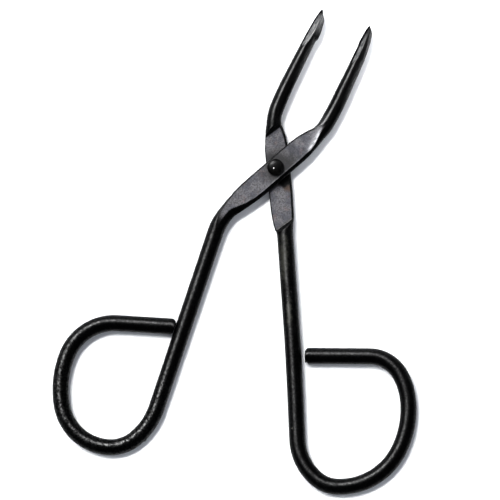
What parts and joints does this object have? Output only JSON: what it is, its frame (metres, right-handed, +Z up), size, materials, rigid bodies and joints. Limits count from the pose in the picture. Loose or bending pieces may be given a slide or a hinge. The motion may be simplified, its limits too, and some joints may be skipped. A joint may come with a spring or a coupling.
{
  "type": "scissor tweezers",
  "caption": "Scissor-action wire tweezers: crossed black arms with open finger loops and tapered ground tips, pressed flat where they turn on a domed rivet.",
  "frame": {"origin": "on the pivot axis, at the flat foot of the rivet's tail, which is the lowest point", "axes": "+Z up through the rivet's domed head, +Y from the pivot towards the jaws, +X to the right"},
  "size_m": [0.0728, 0.0971, 0.0048],
  "materials": {
    "blackened_arm": "semi-gloss black oxide over drawn steel wire, rubbed to bare grey steel on the pressed plates and the ground tips",
    "blackened_rivet": "satin black oxide with a bright worn crown"
  },
  "bodies": {
    "rear": {"rear_arm": "blackened_arm", "pivot_rivet": "blackened_rivet"},
    "front": {"front_arm": "blackened_arm"}
  },
  "joints": [
    {"name": "pivot", "type": "hinge", "parent": "rear", "child": "front", "pos_m": [0, 0, 0.0023], "axis": [0, 0, 1], "range_deg": [-78, 15.1]}
  ]
}
